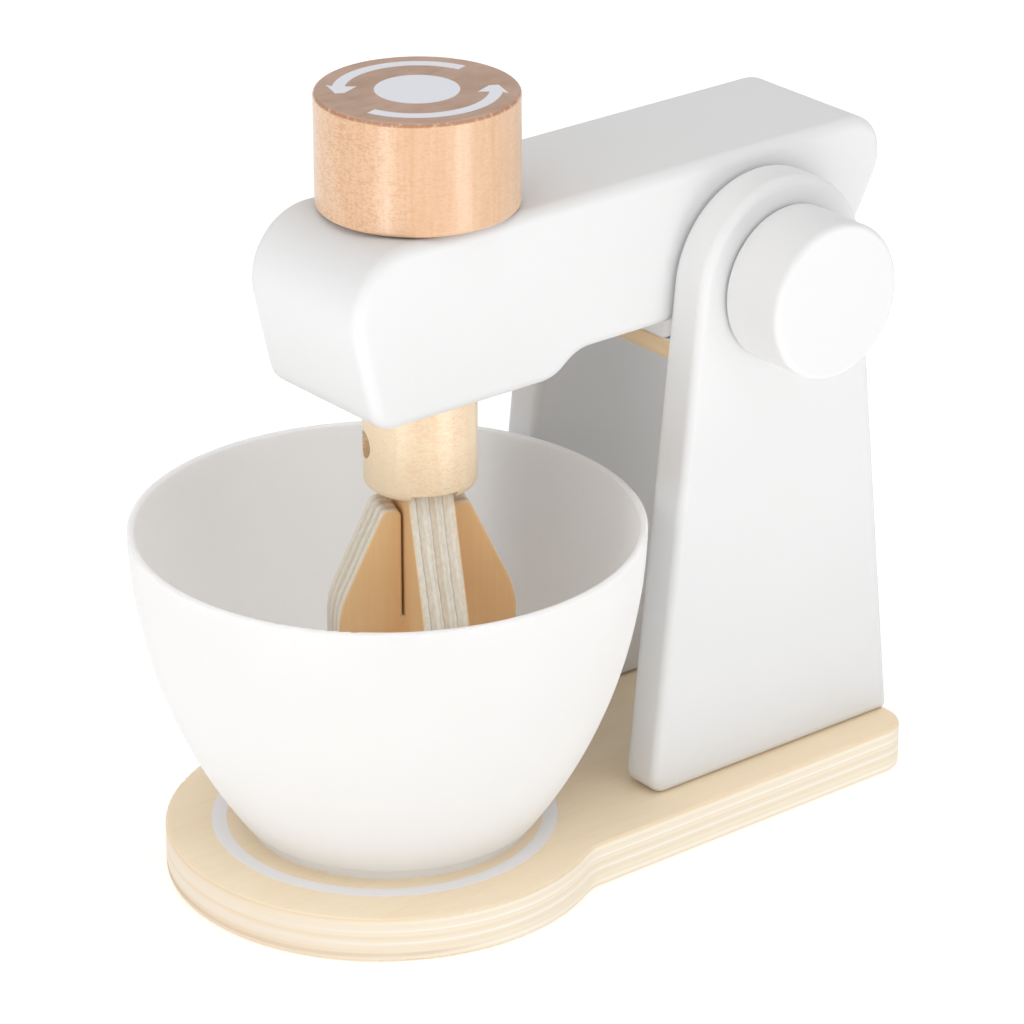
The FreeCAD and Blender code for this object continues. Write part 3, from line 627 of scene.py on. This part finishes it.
# A flat strip that follows an arc about the centre, and its last two corners.
def sweepRibbon(mesh, centre, look, start, end):
    low = mesh.verts.new(polar(centre, look["inner"], start))
    high = mesh.verts.new(polar(centre, look["outer"], start))
    edge = mesh.edges.new((low, high))
    spun = bmesh.ops.spin(mesh, geom=[low, high, edge], cent=centre, axis=(0, 0, 1), angle=end - start,
                          steps=look["steps"], use_merge=end - start == fullTurn)
    corners = [item for item in spun["geom_last"] if isinstance(item, bmesh.types.BMVert)]
    return sorted(corners, key=lambda corner: (corner.co - centre).length)


def makeArrow(name, centre, look, turn):
    tail, wing, neck, tip = (math.radians(look[key] + turn) for key in ("tail", "wing", "neck", "tip"))
    mesh = bmesh.new()
    inner, outer = sweepRibbon(mesh, centre, look, tail, neck)
    head = [("wingInner", wing), ("tipInner", tip), ("tipOuter", tip), ("wingOuter", wing)]
    points = [mesh.verts.new(polar(centre, look[key], angle)) for key, angle in head]
    mesh.faces.new([inner, *points, outer])
    makePrint(name, mesh, knobPrint, "beater")


knobPrint = printShader("knobPrint", printLook["knob"], printLook)
ringPrint = printShader("ringPrint", printLook["ring"], printLook)
baseLow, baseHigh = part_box("base_board")
knobLow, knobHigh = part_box("top_knob")
ringCentre = Vector((baseLow.x + ringLook["lobe"], 0, baseHigh.z))
knobCentre = Vector(((knobLow.x + knobHigh.x) / 2, (knobLow.y + knobHigh.y) / 2, knobHigh.z))

ring = bmesh.new()
sweepRibbon(ring, ringCentre, ringLook, 0, fullTurn)
makePrint("printed_ring", ring, ringPrint, "frame")

disc = bmesh.new()
bmesh.ops.create_circle(disc, cap_ends=True, segments=discLook["steps"], radius=discLook["radius"],
                        matrix=Matrix.Translation(knobCentre))
makePrint("printed_disc", disc, knobPrint, "beater")
makeArrow("printed_arrow_back", knobCentre, arrowLook, 0)
makeArrow("printed_arrow_front", knobCentre, arrowLook, 180)
print("prints done")

# Camera: a long lens, high on the dial side in front of the nose.
cameraLook = {
    "aim": Vector((1.45, 0, 83.94)) * mm,
    "azimuth": -39.14,
    "elevation": 24.27,
    "distance": 1205.6 * mm,
    "lens": 167.59,
    "sensor": 36,
    "clipStart": 50 * mm,
}


# The direction from the object to something at this azimuth and elevation.
def towards(look):
    azimuth = math.radians(look["azimuth"])
    elevation = math.radians(look["elevation"])
    level = math.cos(elevation)
    return Vector((math.sin(azimuth) * level, -math.cos(azimuth) * level, math.sin(elevation)))


def makeCamera(look):
    away = towards(look)
    data = bpy.data.cameras.new("camera")
    data.lens = look["lens"]
    data.sensor_width = look["sensor"]
    data.clip_start = look["clipStart"]
    camera = bpy.data.objects.new("camera", data)
    camera.location = look["aim"] + away * look["distance"]
    camera.rotation_euler = away.to_track_quat("Z", "Y").to_euler()
    bpy.context.scene.collection.objects.link(camera)
    bpy.context.scene.camera = camera


makeCamera(cameraLook)

# Studio: a white tent that is dimmer overhead, two softboxes, and a glowing floor with two bright panels,
# each a strip that runs outwards at its azimuth.
studio = {
    "sky": [(0.0, 0.58), (0.12, 0.53), (0.24, 0.24), (0.5, 0.26), (0.8, 0.84), (1.0, 1.00)],
    "skyPower": 1.33,
    "softboxes": [
        {"azimuth": -72, "elevation": 22, "power": 2.95},
        {"azimuth": 14, "elevation": 22, "power": 2.1},
    ],
    "softboxSize": 0.8,
    "softboxDistance": 1.3,
    "floorSize": 6,
    "floorDrop": 0.1 * mm,
    "floorWhite": (0.93, 0.93, 0.93),
    "floorDusty": (0.91, 0.91, 0.91),
    "floorRoughness": 0.8,
    "dust": {"scale": 3.0, "detail": 2.0},
    "floorGlow": 0.275,
    "brightest": 8.0,
    "panels": [{"azimuth": -12, "glow": 4.6}, {"azimuth": 73, "glow": 4.6}],
    "panelWidth": 0.060,
    "panelSideSoft": 0.02,
    "panelStart": 0.24,
    "panelEnd": 0.95,
    "panelEndSoft": 0.04,
}


def makeSurround(look):
    world = bpy.data.worlds.new("surround")
    bpy.context.scene.world = world
    world.use_nodes = True
    wiring = Wiring(world.node_tree)
    height = wiring.parts(wiring.add("TexCoord", None, None, "Generated"))[2]
    sky = world.node_tree.nodes["Background"]
    sky.inputs["Strength"].default_value = look["skyPower"]
    wiring.plug(sky.inputs["Color"], wiring.ramp(height, look["sky"]))


# How far the floor glows by itself, with a strip of its own glow for each panel.
def panelGlow(shader, look, centre):
    x, y, _ = shader.parts(shader.place(move=(-centre.x, -centre.y, 0)))
    glow = look["floorGlow"]
    for panel in look["panels"]:
        angle = math.radians(panel["azimuth"])
        along = x * -math.sin(angle) + y * -math.cos(angle)
        aside = x * math.cos(angle) + y * -math.sin(angle)
        strip = shader.band(along, look["panelStart"], look["panelEnd"], look["panelEndSoft"])
        strip = strip * shader.band(aside, -look["panelWidth"], look["panelWidth"], look["panelSideSoft"])
        glow = strip * panel["glow"] + glow
    return shader.clamp(glow / look["brightest"])


def makeFloor(look, centre):
    mesh = bmesh.new()
    bmesh.ops.create_grid(mesh, x_segments=2, y_segments=2, size=look["floorSize"],
                          matrix=Matrix.Translation((0, 0, -look["floorDrop"])))
    data = bpy.data.meshes.new("floor")
    mesh.to_mesh(data)
    mesh.free()
    floor = bpy.data.objects.new("floor", data)
    bpy.context.scene.collection.objects.link(floor)
    shader = Shader("floorWhite")
    data.materials.append(shader.finish(
        Base_Color=shader.blend(shader.noise(**look["dust"]), look["floorWhite"], look["floorDusty"]),
        Roughness=look["floorRoughness"],
        Emission_Color=shader.blend(panelGlow(shader, look, centre), (0, 0, 0), (1, 1, 1)),
        Emission_Strength=look["brightest"],
    ))


def makeSoftbox(look, place, aim):
    away = towards(place)
    data = bpy.data.lights.new("softbox", "AREA")
    data.shape = "SQUARE"
    data.size = look["softboxSize"]
    data.energy = place["power"]
    softbox = bpy.data.objects.new("softbox", data)
    softbox.location = aim + away * look["softboxDistance"]
    softbox.rotation_euler = away.to_track_quat("Z", "Y").to_euler()
    bpy.context.scene.collection.objects.link(softbox)


makeSurround(studio)
for place in studio["softboxes"]:
    makeSoftbox(studio, place, cameraLook["aim"])
makeFloor(studio, knobCentre)
bpy.context.scene.view_settings.view_transform = "Standard"
print("camera and studio done")
